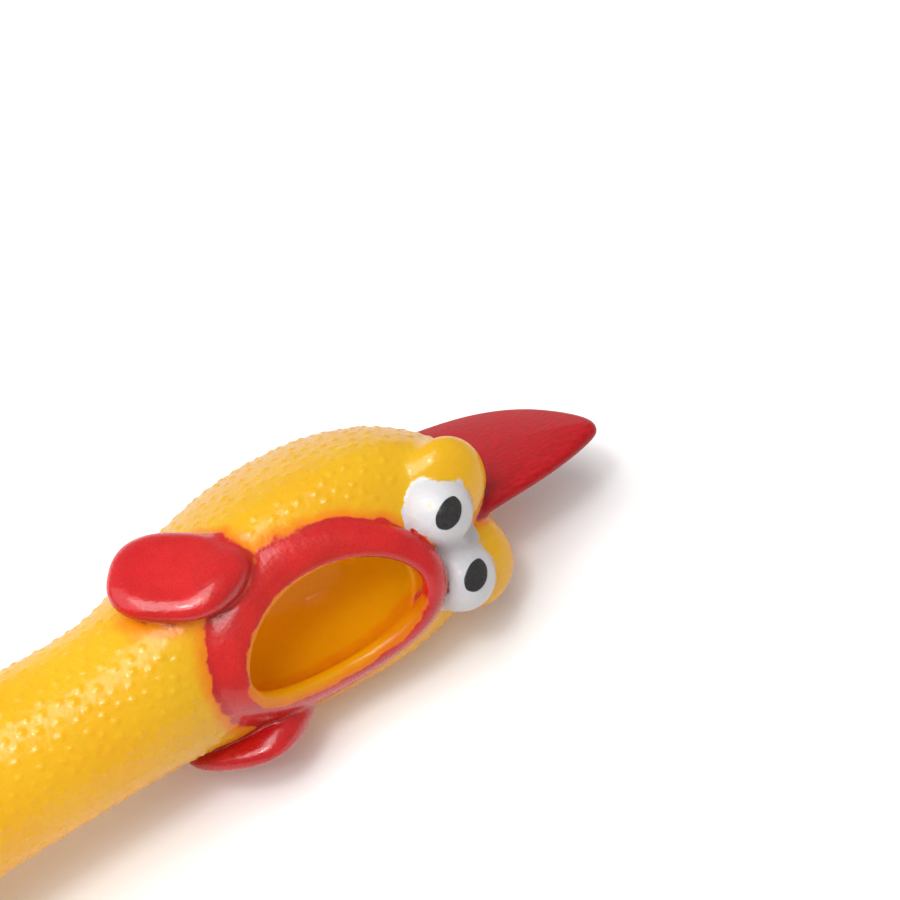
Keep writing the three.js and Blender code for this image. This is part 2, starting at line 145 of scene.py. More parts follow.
TAIL = (-224, 27, 0)
TAIL_SIZE = (15, 11, 9)
TAIL_RISE = 35
TAIL_SIDE, TAIL_SIDE_SIZE = 6, (12, 9, 5)  # the tips on each side of its middle
WING_OUTLINE = [
    [-146, -8], [-142, 4], [-147, 16], [-162, 23], [-180, 24], [-186, 19], [-194, 19],
    [-196, 11], [-202, 7], [-198, 0], [-184, -9], [-164, -13], [-146, -8],
]
WING_THICK = 1.2  # under its feathers
FEATHER_FAN = (-140, 3)  # the point at the shoulder that the feathers fan out from
# Rows of feathers: the row's end from that point, the angle that each feather spans, its height.
FEATHER_ROWS = [(13, 44, 1), (26, 30, 1), (39, 22, 1), (70, 15, 1.6)]
FEATHER_TIP = 3.5  # how far each feather's middle reaches past its sides
FEATHER_GROOVE = 0.8

HIP = (-220, -4, 20)
HIP_BEND_WAY = (-0.6, 0, 0.8)
HIP_BEND = (0, 30)
LEG_SPLAY = 13
LEG_LENGTH = 98
LEG_PROFILE = [
    [0, 16], [10, 16.2], [24, 14.6], [40, 10.8], [52, 8.4],
    [60, 8.6], [68, 7.4], [84, 6.9], [94, 7.3], [100, 7],
]
ANKLE_BEND = (LEG_LENGTH - 9, LEG_LENGTH + 5)
TOES = [(36, -24, 4.6), (40, 0, 4.8), (36, 24, 4.6), (26, 180, 4.4)]  # length, way, radius
TOE_DROP = 9.5
TOE_FLAT = 0.85  # its height as a share of its width
KNUCKLES = ((0.42, 0.95), (0.74, 0.8))  # along the toe, and size, as shares
SHANK_RING = (4.6, 0.4)  # from one ring to the next, and height

# The belly dents in front of its rim's plane, and above its low end.
BELLY_RIM = -29
BELLY_LOW = -232

PIMPLE_SPACING = 3.1
PIMPLE_RADIUS = (1.0, 1.5)
PIMPLE_HEIGHT = (0.22, 0.45)
PIMPLE_TRIES = 60000

# The radius of the fillet where each part meets the rest of the skin.
FILLETS = {
    "brow": 4.5,
    "eye": 0.8,
    "mouth": 1,
    "lips": 0.9,
    "wattle": 1.5,
    "comb": 1.6,
    "tail": 5,
    "leg": 6,
    "foot": 3,
}
EYES_FILLET = 9  # between the two eyeballs

CAMERA_WAY = (-0.277, -0.787, 0.552)  # from the chicken to the camera, in the chicken's own axes
CAMERA_UP = (0.4805, 0.3836, 0.7888)
CAMERA_DISTANCE = 0.531  # metres
LOOK_AT = (39.6, -2.0, 17.0)
LENS = 85
WORLD_STRENGTH = 0.52

# ---------- The chicken's own axes in the row frame ----------

SIGN = {"right": 1, "left": -1}
joints = {j["name"]: j for j in frame["joints"]}
to_right = Vector(joints["head_nod"]["axis"])
to_back = Vector(joints["belly_squeeze"]["axis"])
up_body = to_back.cross(to_right)
mouth_middle = Vector(joints["head_nod"]["pos_m"]) - up_body * HEAD_HINGE * 0.001
TO_ROW = np.array([list(up_body), list(to_back), list(to_right)])


def to_row(points):
    """Points in the chicken's axes in millimetres, as points in the row frame in metres."""
    return np.asarray(points, float) @ TO_ROW * 0.001 + np.array(mouth_middle)


def row_point(x, y, z):
    return Vector(to_row((x, y, z)))


# ---------- Curves and fields ----------
# A field is negative inside a shape and about the distance from its surface elsewhere.
# Points are (x, y, z) arrays.


def curve(rows, per_row=16):
    """Points on the uniform Catmull-Rom spline through rows of numbers."""
    rows = np.array(rows, float)
    padded = np.vstack([rows[:1], rows, rows[-1:]])
    t = np.linspace(0, len(rows) - 1, (len(rows) - 1) * per_row + 1)
    i = np.minimum(t.astype(int), len(rows) - 2)
    s = (t - i)[:, None]
    a, b, c, d = (padded[i + k] for k in range(4))
    return b + 0.5 * s * (c - a + s * (2 * a - 5 * b + 4 * c - d + s * (3 * (b - c) + d - a)))


def length_of(*parts):
    return np.sqrt(sum(p * p for p in parts))


def smooth_union(a, b, radius):
    """Both shapes, with a fillet of that radius where they meet."""
    h = np.clip(0.5 + 0.5 * (b - a) / radius, 0, 1)
    return b + (a - b) * h - radius * h * (1 - h)


def carved(a, b, radius):
    """Shape a without shape b, with a rounded edge."""
    return -smooth_union(-a, b, radius)


def ramp(value, low, high):
    """From 0 at low to 1 at high, smoothly."""
    t = np.clip((value - low) / (high - low), 0, 1)
    return t * t * (3 - 2 * t)


def turned(u, v, degrees):
    """The plane point (u, v), turned about the origin."""
    c, s = math.cos(math.radians(degrees)), math.sin(math.radians(degrees))
    return u * c - v * s, u * s + v * c


def ellipsoid(p, centre, size, turn=0):
    """An ellipsoid, turned about the z axis."""
    x, y, z = (c - m for c, m in zip(p, centre))
    x, y = turned(x, y, -turn)
    q = [c / s for c, s in zip((x, y, z), size)]
    reach = length_of(*q)
    return reach * (reach - 1) / np.maximum(length_of(*(c / s for c, s in zip(q, size))), 1e-6)


def round_cone(p, start, end, r0, r1):
    """A rod between two points whose radius changes from r0 to r1, with round ends."""
    axis = np.subtract(end, start)
    off = [c - m for c, m in zip(p, start)]
    t = np.clip(sum(o * a for o, a in zip(off, axis)) / (axis @ axis), 0, 1)
    return length_of(*(o - t * a for o, a in zip(off, axis))) - (r0 + (r1 - r0) * t)


class Outline:
    """The signed distance to a closed outline in the x-y plane, read from a fine grid."""

    def __init__(self, rows, margin=12, spacing=0.5):
        line = curve(rows, 10)
        self.low, self.spacing = line.min(0) - margin, spacing
        count = ((line.max(0) + margin - self.low) / spacing).astype(int) + 2
        x, y = (self.low[k] + spacing * np.arange(count[k]) for k in range(2))
        grid = np.stack(np.meshgrid(x, y, indexing="ij"), -1)
        nearest, inside = np.full(count, 1e9), np.zeros(count, bool)
        for a, b in zip(line, np.roll(line, -1, 0)):
            side, off = b - a, grid - a
            t = np.clip(off @ side / max(side @ side, 1e-9), 0, 1)
            nearest = np.minimum(nearest, np.linalg.norm(off - t[..., None] * side, axis=-1))
            crosses = (a[1] > grid[..., 1]) != (b[1] > grid[..., 1])
            rise = side[1] if abs(side[1]) > 1e-9 else 1e-9
            inside ^= crosses & (off[..., 0] < off[..., 1] * side[0] / rise)
        self.distance = np.where(inside, -nearest, nearest)

    def __call__(self, x, y):
        d = self.distance
        at = [
            np.clip((c - l) / self.spacing, 0, n - 1.001)
            for c, l, n in zip((x, y), self.low, d.shape)
        ]
        i, j = (a.astype(int) for a in at)
        s, t = at[0] - i, at[1] - j
        here = d[i, j] * (1 - s) + d[i + 1, j] * s
        beside = d[i, j + 1] * (1 - s) + d[i + 1, j + 1] * s
        return here * (1 - t) + beside * t


sections = curve(BODY_ROWS)
slope = np.gradient(sections[:, 3], sections[:, 0])
lean = np.maximum(1 / np.sqrt(1 + slope**2), 0.35)
comb_outline = Outline(COMB_OUTLINE)
wing_outline = Outline(WING_OUTLINE)
leg_radius = curve(LEG_PROFILE)


def body(p):
    """The plain body, rump to crown: each section's front and back halves are half ellipses."""
    x, y, z = p[0], p[1] + 1e-4, p[2]
    front, back, half, leaning = (np.interp(x, sections[:, 0], c) for c in (*sections.T[1:], lean))
    depth = np.where(y < 0, front, back)
    reach = length_of(y, z)
    surface = reach / length_of(y / depth, z / half)
    past_ends = np.maximum(x - BODY_ROWS[-1][0], BODY_ROWS[0][0] - x)
    return np.maximum((reach - surface) * leaning, past_ends)


def eye(p):
    """Both eyeballs, joined between them."""
    right, left = (ellipsoid((p[0], p[1], side * p[2]), EYE, EYE_SIZE) for side in (1, -1))
    return smooth_union(right, left, EYES_FILLET)


def brow(p):
    return ellipsoid((p[0], p[1], np.abs(p[2])), BROW, BROW_SIZE)


def wattle(p):
    """A flat lobe with a rounded edge and a slightly dished face.

    The right one stands off the neck at its back edge. The left one is pressed against the neck by
    the floor.
    """
    free = p[2] > 0
    out = np.abs(p[2]) - WATTLE[2] + np.where(free, 0, WATTLE_PRESSED)
    lift = np.radians(np.where(free, WATTLE_LIFT, 0))
    x, y = p[0] - WATTLE[0], p[1] - WATTLE[1]
    y, z = y * np.cos(lift) + out * np.sin(lift), out * np.cos(lift) - y * np.sin(lift)
    x, y = turned(x, y, WATTLE_SWEEP)
    power = WATTLE_POWER
    along, across = np.abs(x / WATTLE_SIZE[0]), np.abs(y / WATTLE_SIZE[1])
    outline = (along**power + across**power) ** (1 / power)
    dish = WATTLE_DISH * ramp(outline, 0.8, 0.35)
    thick = np.abs(z) / (WATTLE_SIZE[2] - dish)
    reach = (outline**power + thick**power) ** (1 / power)
    fall = length_of(outline / WATTLE_SIZE[1], thick / WATTLE_SIZE[2])
    return reach * (reach - 1) / np.maximum(fall, 1e-6)


def wattle_and_root(p):
    """A wattle with the fold of skin that joins it to the lips and to the cheek."""
    either = (p[0], p[1], np.abs(p[2]))
    root = ellipsoid(either, WATTLE_ROOT, WATTLE_ROOT_SIZE, WATTLE_ROOT_TURN)
    return smooth_union(wattle(p), root, 4)


def rim(turn):
    """A point on the mouth's rim, at an angle from its upper end."""
    x = MOUTH_X + MOUTH_LENGTH * np.cos(turn)
    z = MOUTH_WIDTH * np.sin(turn)
    return x, -(MOUTH_FRONT + MOUTH_SLOPE * (x - MOUTH_X) - MOUTH_SAG * z * z), z


def across_mouth(p):
    """How far out from the mouth's middle a point is, as a share of the rim."""
    return length_of((p[0] - MOUTH_X) / MOUTH_LENGTH, p[2] / MOUTH_WIDTH)


def lips(p):
    """The ring of the lips: an oval bead, broad at its lower end and narrow at its upper end."""
    turn = np.arctan2(p[2] / MOUTH_WIDTH, (p[0] - MOUTH_X) / MOUTH_LENGTH)
    # Three steps towards the nearest point on the rim.
    for _ in range(3):
        here = rim(turn)
        ahead = [(b - a) * 100 for a, b in zip(here, rim(turn + 0.01))]
        off = [c - h for c, h in zip(p, here)]
        move = sum(o * a for o, a in zip(off, ahead)) / sum(a * a for a in ahead)
        turn = turn + np.clip(move, -0.3, 0.3)
    # The bead's own axes there: out of the face, and sideways across the lip.
    here = rim(turn)
    off = [c - h for c, h in zip(p, here)]
    outward = [here[0] - MOUTH_X, here[2]]
    flare = LIP_FLARE / length_of(*outward)
    out = [outward[0] * flare, -np.ones_like(turn), outward[1] * flare]
    out = [c / length_of(*out) for c in out]
    ahead = [b - a for a, b in zip(here, rim(turn + 0.01))]
    side = [ahead[k - 2] * out[k - 1] - ahead[k - 1] * out[k - 2] for k in range(3)]
    side = [c / length_of(*side) for c in side]
    half = (LIP_LOW + LIP_HIGH) / 2 - (LIP_LOW - LIP_HIGH) / 2 * np.cos(turn)
    u = sum(o * s for o, s in zip(off, side)) / half
    v = sum(o * s for o, s in zip(off, out)) / LIP_HEIGHT
    reach = length_of(u, v)
    return reach * (reach - 1) / np.maximum(length_of(u / half, v / LIP_HEIGHT), 1e-6)


def cavity(p):
    """The open mouth, rounded at its floor, and the throat hole in its lower wall."""
    deep = (p[1] + MOUTH_FRONT - MOUTH_STRAIGHT) / (MOUTH_DEPTH - MOUTH_STRAIGHT)
    size = MOUTH_SHARE * np.sqrt(1 - np.clip(deep, 0, 1) ** 2)
    bowl = (across_mouth(p) - size) * MOUTH_WIDTH
    hole = length_of(p[1] - THROAT[0], p[2]) - THROAT[1]
    hole = np.maximum(hole, np.maximum(WHISTLE_TOP - 1.5 - p[0], p[0] - THROAT_TOP))
    return smooth_union(bowl, hole, 1.5)


def comb(p):
    """A fin on the middle plane, thin at its edge."""
    edge = comb_outline(p[0], p[1])
    thin, thick = COMB_HALF
    half = thin + (thick - thin) * (1 - np.exp(np.minimum(edge, 0) / COMB_TAPER))
    u, v = edge + thin, np.abs(p[2]) - half + thin
    outside = length_of(np.maximum(u, 0), np.maximum(v, 0))
    return outside + np.minimum(np.maximum(u, v), 0) - thin


def in_leg(p):
    """A point in a leg's own axes from its hip: down the leg, to the back, outward."""
    x, z = turned(p[0] - HIP[0], np.abs(p[2]) - HIP[2], LEG_SPLAY)
    return -x, p[1] - HIP[1], z


def leg(p):
    down, y, z = in_leg(p)
    rod = length_of(y, z) - np.interp(down, leg_radius[:, 0], leg_radius[:, 1])
    return np.maximum(rod, np.maximum(down - LEG_LENGTH, -down))


def toe(p, length, degrees, radius):
    """One toe: two knuckles, and a claw that hooks down."""
    down, y, z = p
    u, v = turned(-y, z, degrees)
    q = ((down - LEG_LENGTH - TOE_DROP) / TOE_FLAT, u, v)
    shape = round_cone(q, (-1, 0, 0), (0, length * 0.82, 0), radius, radius * 0.62)
    for share, size in KNUCKLES:
        knuckle = ellipsoid(q, (-0.4, length * share, 0), (radius * size,) * 3)
        shape = smooth_union(shape, knuckle, 2)
    claw = round_cone(q, (-0.4, length * 0.84, 0), (1.8, length - 0.8, 0), radius * 0.5, 0.7)
    return smooth_union(shape, claw, 0.8)


def foot(p):
    """The ankle's knob, the short rod below it and the toes."""
    q = in_leg(p)
    ankle, sole = (LEG_LENGTH, 0, 0), (LEG_LENGTH + TOE_DROP, 0, 0)
    shape = ellipsoid(q, ankle, (8, 7, 7))
    shape = smooth_union(shape, round_cone(q, ankle, sole, 6.6, 5.8), 3)
    for each in TOES:
        shape = smooth_union(shape, toe(q, *each), 4)
    return shape


def tail(p):
    """A stub of tail with three tips."""
    shape = ellipsoid(p, TAIL, TAIL_SIZE, -TAIL_RISE)
    for side in (-TAIL_SIDE, TAIL_SIDE):
        tip = ellipsoid(p, (TAIL[0] - 1, TAIL[1] - 1, side), TAIL_SIDE_SIZE, -TAIL_RISE)
        shape = smooth_union(shape, tip, 1.5)
    return shape


def head_features(f, p):
    f = smooth_union(f, brow(p), FILLETS["brow"])
    f = smooth_union(f, eye(p), FILLETS["eye"])
    f = carved(f, cavity(p), FILLETS["mouth"])
    f = smooth_union(f, lips(p), FILLETS["lips"])
    f = smooth_union(f, wattle_and_root(p), FILLETS["wattle"])
    return smooth_union(f, comb(p), FILLETS["comb"])


def rear_features(f, p):
    f = smooth_union(f, tail(p), FILLETS["tail"])
    f = smooth_union(f, leg(p), FILLETS["leg"])
    return smooth_union(f, foot(p), FILLETS["foot"])


def skin(p):
    """The whole chicken but for its wings."""
    f = body(p)
    for here, with_features in ((p[0] < REAR_TOP, rear_features), (p[0] > FACE_LOW, head_features)):
        f[here] = with_features(f[here], tuple(c[here] for c in p))
    return f


def wing(p):
    """The right wing: a flap that hugs the body's side, with rows of feathers that fan out."""
    off_body = body(p)
    edge = wing_outline(p[0], p[1])
    along, across = FEATHER_FAN[0] - p[0], p[1] - FEATHER_FAN[1]
    angle = np.arctan2(across, along)
    reach = length_of(across, along)
    relief = np.zeros_like(reach)
    for row_end, width, height in FEATHER_ROWS:
        bow = np.abs(np.cos(angle * math.pi / math.radians(width)))
        tip = row_end + FEATHER_TIP * np.sqrt(bow)
        relief += ramp(reach, tip, tip - 1.2) * (height - FEATHER_GROOVE * (1 - bow) ** 3)
    top = off_body - WING_THICK - relief
    # Its underside is just off the body, but for the root, which goes into it.
    under = 0.5 - 3 * ramp(p[0], -156, -148) - off_body
    flap = -smooth_union(-top, -edge, 1.8)
    return -smooth_union(-flap, -under, 1.2)


# ---------- From a field to a mesh ----------


def near_surface(field, low, count, step, block=8):
    """The field on a grid, worked out only in the blocks that may hold the surface."""
    blocks = [n // block + 1 for n in count]
    middle = [l + step * (block * (np.arange(b) + 0.5)) for l, b in zip(low, blocks)]
    coarse = field(tuple(c.ravel() for c in np.meshgrid(*middle, indexing="ij"))).reshape(blocks)
    near = np.abs(coarse) < step * block * 1.6
    values = np.where(coarse < 0, -1.0, 1.0).astype(np.float32)
    for axis in range(3):
        near, values = near.repeat(block, axis), values.repeat(block, axis)
    at = np.nonzero(near)
    values[at] = field(tuple(l + step * i for l, i in zip(low, at)))
    return values


def surface_of(field, low, high, step):
    """The surface where a field is zero, as points and quads.

    Each grid cell that the surface crosses holds one point, the mean of where its edges cross it.
    """
    count = [int((h - l) / step) + 2 for l, h in zip(low, high)]
    values = near_surface(field, low, count, step)
    inside = values < 0
    cells = np.zeros([n - 1 for n in values.shape], np.int8)
    corners = [(i, j, k) for i in (0, 1) for j in (0, 1) for k in (0, 1)]
    shape = values.shape
    for i, j, k in corners:
        cells += inside[i : shape[0] - 1 + i, j : shape[1] - 1 + j, k : shape[2] - 1 + k]
    active = np.nonzero((cells > 0) & (cells < 8))
    number = np.full(cells.shape, -1, np.int32)
    number[active] = np.arange(len(active[0]))
    base = np.stack(active, 1)
    total, crossings = np.zeros((len(base), 3)), np.zeros((len(base), 1))
    for corner in corners:
        for axis in range(3):
            if corner[axis]:
                continue
            a = base + corner
            b = a.copy()
            b[:, axis] += 1
            va, vb = values[tuple(a.T)], values[tuple(b.T)]
            crossed = ((va < 0) != (vb < 0))[:, None]
            share = np.where(crossed[:, 0], va / np.where(crossed[:, 0], va - vb, 1), 0)
            at = np.array(corner) + np.eye(3)[axis] * share[:, None]
            total += at * crossed
            crossings += crossed
    points = (base + total / crossings) * step + np.array(low)
    quads = []
    for axis in range(3):
        u, v = (axis + 1) % 3, (axis + 2) % 3
        first = np.take(inside, range(shape[axis] - 1), axis)
        second = np.take(inside, range(1, shape[axis]), axis)
        edge = np.stack(np.nonzero(first != second), 1)
        for side in (u, v):
            edge = edge[(edge[:, side] > 0) & (edge[:, side] < shape[side] - 1)]
        leaving = first[tuple(edge.T)]
        ring = []
        for du, dv in ((0, 0), (-1, 0), (-1, -1), (0, -1)):
            cell = edge.copy()
            cell[:, u] += du
            cell[:, v] += dv
            ring.append(number[tuple(cell.T)])
        ring = np.stack(ring, 1)
        quads.append(np.where(leaving[:, None], ring, ring[:, ::-1]))
    return points, np.concatenate(quads)


def gradient(field, points, reach=0.15):
    """The way in which a field grows fastest at each point, and how fast."""
    slopes = []
    for axis in range(3):
        a, b = points.copy(), points.copy()
        a[:, axis] -= reach
        b[:, axis] += reach
        slopes.append((field(tuple(b.T)) - field(tuple(a.T))) / (2 * reach))
    return np.stack(slopes, 1)


def onto(field, points, steps=2):
    """Points moved onto the surface of a field."""
    for _ in range(steps):
        slopes = gradient(field, points)
        size = np.maximum((slopes**2).sum(1), 0.05)
        move = -(field(tuple(points.T)) / size)[:, None] * slopes
        points = points + np.clip(move, -0.4, 0.4)
    return points


def normals_of(points, quads):
    """Each point's normal, from the faces round it."""
    a, b, c, d = (points[quads[:, k]] for k in range(4))
    face = np.cross(c - a, d - b)
    total = [
        sum(np.bincount(quads[:, k], face[:, i], len(points)) for k in range(4)) for i in range(3)
    ]
    total = np.stack(total, 1)
    return total / np.maximum(np.linalg.norm(total, axis=1, keepdims=True), 1e-12)


# ---------- Skin ----------


def mouth_reach(p):
    """Distance outward from the crest of the lips, negative inside the mouth."""
    return (across_mouth(p) - 1) * MOUTH_WIDTH


def paint_red(p):
    """Distance from the red paint on the wattles, the comb and the lips' outer side and crest."""
    inner = PAINT_INNER + PAINT_SLANT * ramp(-p[2], -4, 10)
    outer_lips = np.maximum(lips(p), inner - mouth_reach(p))
    marks = np.minimum(np.minimum(outer_lips, comb(p)), wattle_and_root(p))
    return marks - 0.7


def painted_mouth_light_distance(p):
    """Distance from the inside of the mouth, whose orange is painted light: bounced light off the
    yellow walls, lighter deep inside against the shade there.
    """
    return np.maximum(mouth_reach(p) + 0.5, p[1] - MOUTH_DEPTH / 2)


def paint_white(p):
    """Distance from the white paint on the eyes and on the face between them, below the brows."""
    white = smooth_union(eye(p) - 0.5, ellipsoid(p, *BETWEEN_EYES), 3)
    off_mouth = np.maximum(0.9 - lips(p), 2 - mouth_reach(p))
    return np.maximum(np.maximum(white, 0.35 - brow(p)), off_mouth)


def share_of_pimples(p):
    """From 0 on the smooth face, shanks and feet to 1 on the plucked skin."""
    features = np.minimum(np.minimum(brow(p), eye(p)), np.minimum(lips(p), wattle(p)))
    features = np.minimum(features, np.minimum(comb(p), cavity(p)))
    down = in_leg(p)[0]
    return ramp(features, 1.5, 5) * ramp(down, 66, 52)


def add_pimples(points, quads):
    """Small round bumps on the plucked skin, each of its own size and none too near another."""
    chosen, taken = [], {}
    amount = share_of_pimples(tuple(points.T))
    for i in rng.permutation(len(points))[:PIMPLE_TRIES]:
        if amount[i] < 0.05:
            continue
        p = points[i]
        cell = tuple((p // PIMPLE_SPACING).astype(int))
        around = itertools.product(*((c - 1, c, c + 1) for c in cell))
        near = (points[j] for key in around for j in taken.get(key, ()))
        if any(((other - p) ** 2).sum() < PIMPLE_SPACING**2 for other in near):
            continue
        taken.setdefault(cell, []).append(i)
        chosen.append(i)
    tree = kdtree.KDTree(len(chosen))
    for n, i in enumerate(chosen):
        tree.insert(points[i], n)
    tree.balance()
    radius = rng.uniform(*PIMPLE_RADIUS, len(chosen))
    height = rng.uniform(*PIMPLE_HEIGHT, len(chosen))
    found = [tree.find(p)[1:] for p in points]
    which = np.array([n for n, _ in found])
    share = np.array([d for _, d in found]) / radius[which]
    bump = height[which] * np.maximum(1 - share**2, 0) ** 2 * amount
    return points + normals_of(points, quads) * bump[:, None]


def add_scales(points, quads):
    """Low rings down each shank, highest on its front."""
    spacing, height = SHANK_RING
    down, y, z = in_leg(points.T)
    on_shank = ramp(down, 60, 66) * ramp(down, 96, 90) * (points[:, 0] < REAR_TOP)
    on_shank = on_shank * ramp(length_of(y, z), 12, 10)
    ring = np.abs(np.sin(down * math.pi / spacing)) ** 0.6 - 0.7
    front = 0.25 + 0.75 * ramp(-y, -2, 4)
    return points + normals_of(points, quads) * (height * ring * front * on_shank)[:, None]


def pressed_flat(points):
    """Points in the row frame, with none below the floor that the chicken lies on."""
    points[:, 2] = np.maximum(points[:, 2], 0)
    return points


def new_object(name, points, faces, normals, rest):
    """A smooth mesh object in the row frame, whose rest attribute is each point's place at rest."""
    mesh = bpy.data.meshes.new(name)
    mesh.from_pydata(points, [], faces)
    mesh.polygons.foreach_set("use_smooth", np.ones(len(faces), bool))
    mesh.normals_split_custom_set_from_vertices(normals)
    where = mesh.attributes.new("rest", "FLOAT_VECTOR", "POINT")
    where.data.foreach_set("vector", rest.astype(np.float32).ravel())
    obj = bpy.data.objects.new(name, mesh)
    bpy.context.scene.collection.objects.link(obj)
    return obj


def vinyl_object(name, points, quads, normals, rest):
    """A piece of the skin, with each point's distance from each paint as an attribute."""
    obj = new_object(name, points, quads.tolist(), normals, rest)
    p = tuple(rest.T)
    for label, field in (
        ("red_edge", paint_red),
        ("white_edge", paint_white),
        ("mouth_edge", painted_mouth_light_distance),
    ):
        edge = obj.data.attributes.new(label, "FLOAT", "POINT")
        edge.data.foreach_set("value", np.clip(field(p), -20, 20).astype(np.float32))
    return obj


def hip_share(p):
    """How far a point is from the torso (0) to the leg (1), in the skin that bends at the hip."""
    x, z = p[0] - HIP[0], np.abs(p[2]) - HIP[2]
    start, end = HIP_BEND
    return (HIP_BEND_WAY[0] * x + HIP_BEND_WAY[2] * z - start) / (end - start)


def region_of(p):
    """The name of the piece that each point of the skin belongs to."""
    x, y, z = p
    name = np.full(len(x), "torso", object)
    for label, border in zip(("neck_base", "neck_mid", "neck_top", "head"), NECK_BORDERS):
        name[x > border] = label
    down = in_leg(p)[0]
    in_front = (y < BELLY_RIM) & (x < NECK_BORDERS[0]) & (x > BELLY_LOW)
    name[in_front & (down < 40)] = "belly"
    side = np.where(z > 0, "right", "left").astype(object)
    rear = (x < REAR_TOP) & (tail(p) > 0.6) & (name != "belly")
    for label, here in (
        ("hip", rear & (hip_share(p) > -0.02)),
        ("leg", rear & (hip_share(p) > 1.02) & (down > 20)),
        ("ankle", rear & (down > ANKLE_BEND[0] - 1)),
        ("foot", rear & (down > ANKLE_BEND[1] + 1)),
        ("wattle", (x > FACE_LOW) & (wattle(p) < 0.45)),
        ("eye", (x > 10) & (eye(p) < 0.3) & (brow(p) > 0.3)),
    ):
        name[here] = label + "_" + side[here]
    name[(x > FACE_LOW) & (cavity(p) < 0.6) & (lips(p) > 0.1)] = "lining"
    name[(x > FACE_LOW) & (lips(p) < 0.45)] = "lips"
    name[(x > 10) & (comb(p) < 0.5)] = "comb"
    name[(x < REAR_TOP) & (tail(p) < 0.6) & (y > 18)] = "tail"
    return name


def split_skin():
    """The skin's pieces, by region name."""
    points, quads = surface_of(skin, *SKIN_BOX, STEP)
    points = onto(skin, points)
    middles = points[quads].mean(1)
    # The throat is left open at its lower end, where the whistle fills it.
    at_whistle = np.abs(middles[:, 0] - WHISTLE_TOP + 2) < 2.4
    in_throat = at_whistle & (length_of(middles[:, 1] - THROAT[0], middles[:, 2]) < 8)
    quads, middles = quads[~in_throat], middles[~in_throat]
    rest = points
    points = add_scales(add_pimples(points, quads), quads)
    region = region_of(tuple(middles.T))
    placed = pressed_flat(to_row(points))
    normals = normals_of(placed, quads)
    pieces = {}
    for label in sorted(set(region)):
        own = quads[region == label]
        used, renumbered = np.unique(own, return_inverse=True)
        renumbered = renumbered.reshape(own.shape)
        pieces[label] = vinyl_object(
            "skin_" + label, placed[used], renumbered, normals[used], rest[used]
        )
    return pieces


# ---------- Materials ----------


class Surface:
    """A material under construction: short ways to add nodes and to link them."""

    def __init__(self, name):
        self.material = bpy.data.materials.new(name)
        self.material.use_nodes = True
        self.tree = self.material.node_tree
        self.shader = self.tree.nodes["Principled BSDF"]
        self.rest = self.attribute("rest", "Vector")

    def set(self, **values):
        for key, value in values.items():
            socket = self.shader.inputs[key.replace("_", " ").title().replace("Ior", "IOR")]
            if isinstance(value, bpy.types.NodeSocket):
                self.tree.links.new(value, socket)
            else:
                socket.default_value = value

    def node(self, kind, output, inputs, **settings):
        made = self.tree.nodes.new(kind)
        for key, value in settings.items():
            setattr(made, key, value)
        for key, value in inputs.items():
            if isinstance(value, bpy.types.NodeSocket):
                self.tree.links.new(value, made.inputs[key])
            else:
                made.inputs[key].default_value = value
        return made.outputs[output]

    def attribute(self, name, output="Fac"):
        return self.node("ShaderNodeAttribute", output, {}, attribute_name=name)

    def math(self, operation, *values):
        return self.node("ShaderNodeMath", 0, dict(enumerate(values)), operation=operation)

    def noise(self, scale, detail=2.0, roughness=0.5):
        """Noise from 0 to 1 whose marks are about 1/scale across, in the units of self.rest."""
        inputs = {"Vector": self.rest, "Scale": scale, "Detail": detail, "Roughness": roughness}
        return self.node("ShaderNodeTexNoise", 0, inputs)

    def ragged(self, edge, scale, wobble):
        """A distance attribute made uneven by up to that wobble either way, as a paint edge is."""
        noise = self.between(self.noise(scale, 2), 0.2, 0.8, -wobble, wobble)
        return self.math("ADD", self.attribute(edge), noise)

    def between(self, value, low, high, start=0.0, end=1.0):
        """From start where value is low to end where it is high."""
        inputs = {"Value": value, 1: low, 2: high, 3: start, 4: end}
        return self.node("ShaderNodeMapRange", 0, inputs, interpolation_type="SMOOTHSTEP")

    def mix(self, share, a, b):
        return self.node("ShaderNodeMix", 2, {0: share, 6: a, 7: b}, data_type="RGBA")

    def glow(self, share, colour):
        """Lets that share of the light through, as thin vinyl does."""
        through = self.node("ShaderNodeBsdfTranslucent", 0, {"Color": colour})
        inputs = {0: share, 1: self.shader.outputs[0], 2: through}
        both = self.node("ShaderNodeMixShader", 0, inputs)
        self.tree.links.new(both, self.tree.nodes["Material Output"].inputs["Surface"])

    def bump(self, height, distance, strength=1.0, normal=None):
        inputs = {"Height": height, "Distance": distance, "Strength": strength}
        if normal is not None:
            inputs["Normal"] = normal
        return self.node("ShaderNodeBump", 0, inputs)


# Colours, in linear light.
YELLOW = (0.80, 0.57, 0.012, 1)
AMBER = (0.78, 0.51, 0.008, 1)
LEMON = (0.82, 0.64, 0.016, 1)
RED = (0.52, 0.004, 0.008, 1)
DEEP_RED = (0.44, 0.002, 0.006, 1)
SPRAY = (0.86, 0.17, 0.004, 1)
WHITE = (0.54, 0.54, 0.56, 1)
# Painted light inside the mouth: an orange that stands in for light bounced about its yellow walls,
# lighter deep inside than at the rim to even out the shade there.
MOUTH_PAINTED_LIGHT_DEEP = (0.95, 0.58, 0.004, 1)
MOUTH_PAINTED_LIGHT_RIM = (0.84, 0.44, 0.003, 1)
COMB_DARK, COMB_RED = (0.30, 0.001, 0.004, 1), (0.41, 0.002, 0.006, 1)
INK, WORN_INK = (0.006, 0.006, 0.006, 1), (0.02, 0.018, 0.016, 1)
CREAM, CREAM_DARK = (0.84, 0.82, 0.74, 1), (0.74, 0.71, 0.62, 1)
FILM, FILM_DARK = (0.74, 0.78, 0.8, 1), (0.62, 0.66, 0.69, 1)
PAPER, PAPER_LIGHT = (0.88, 0.88, 0.88, 1), (0.9, 0.9, 0.9, 1)
GLOW = (1.0, 0.60, 0.04, 1)  # light that comes through the vinyl
GLOW_SHARE, GLOW_IN_MOUTH = 0.46, 0.62


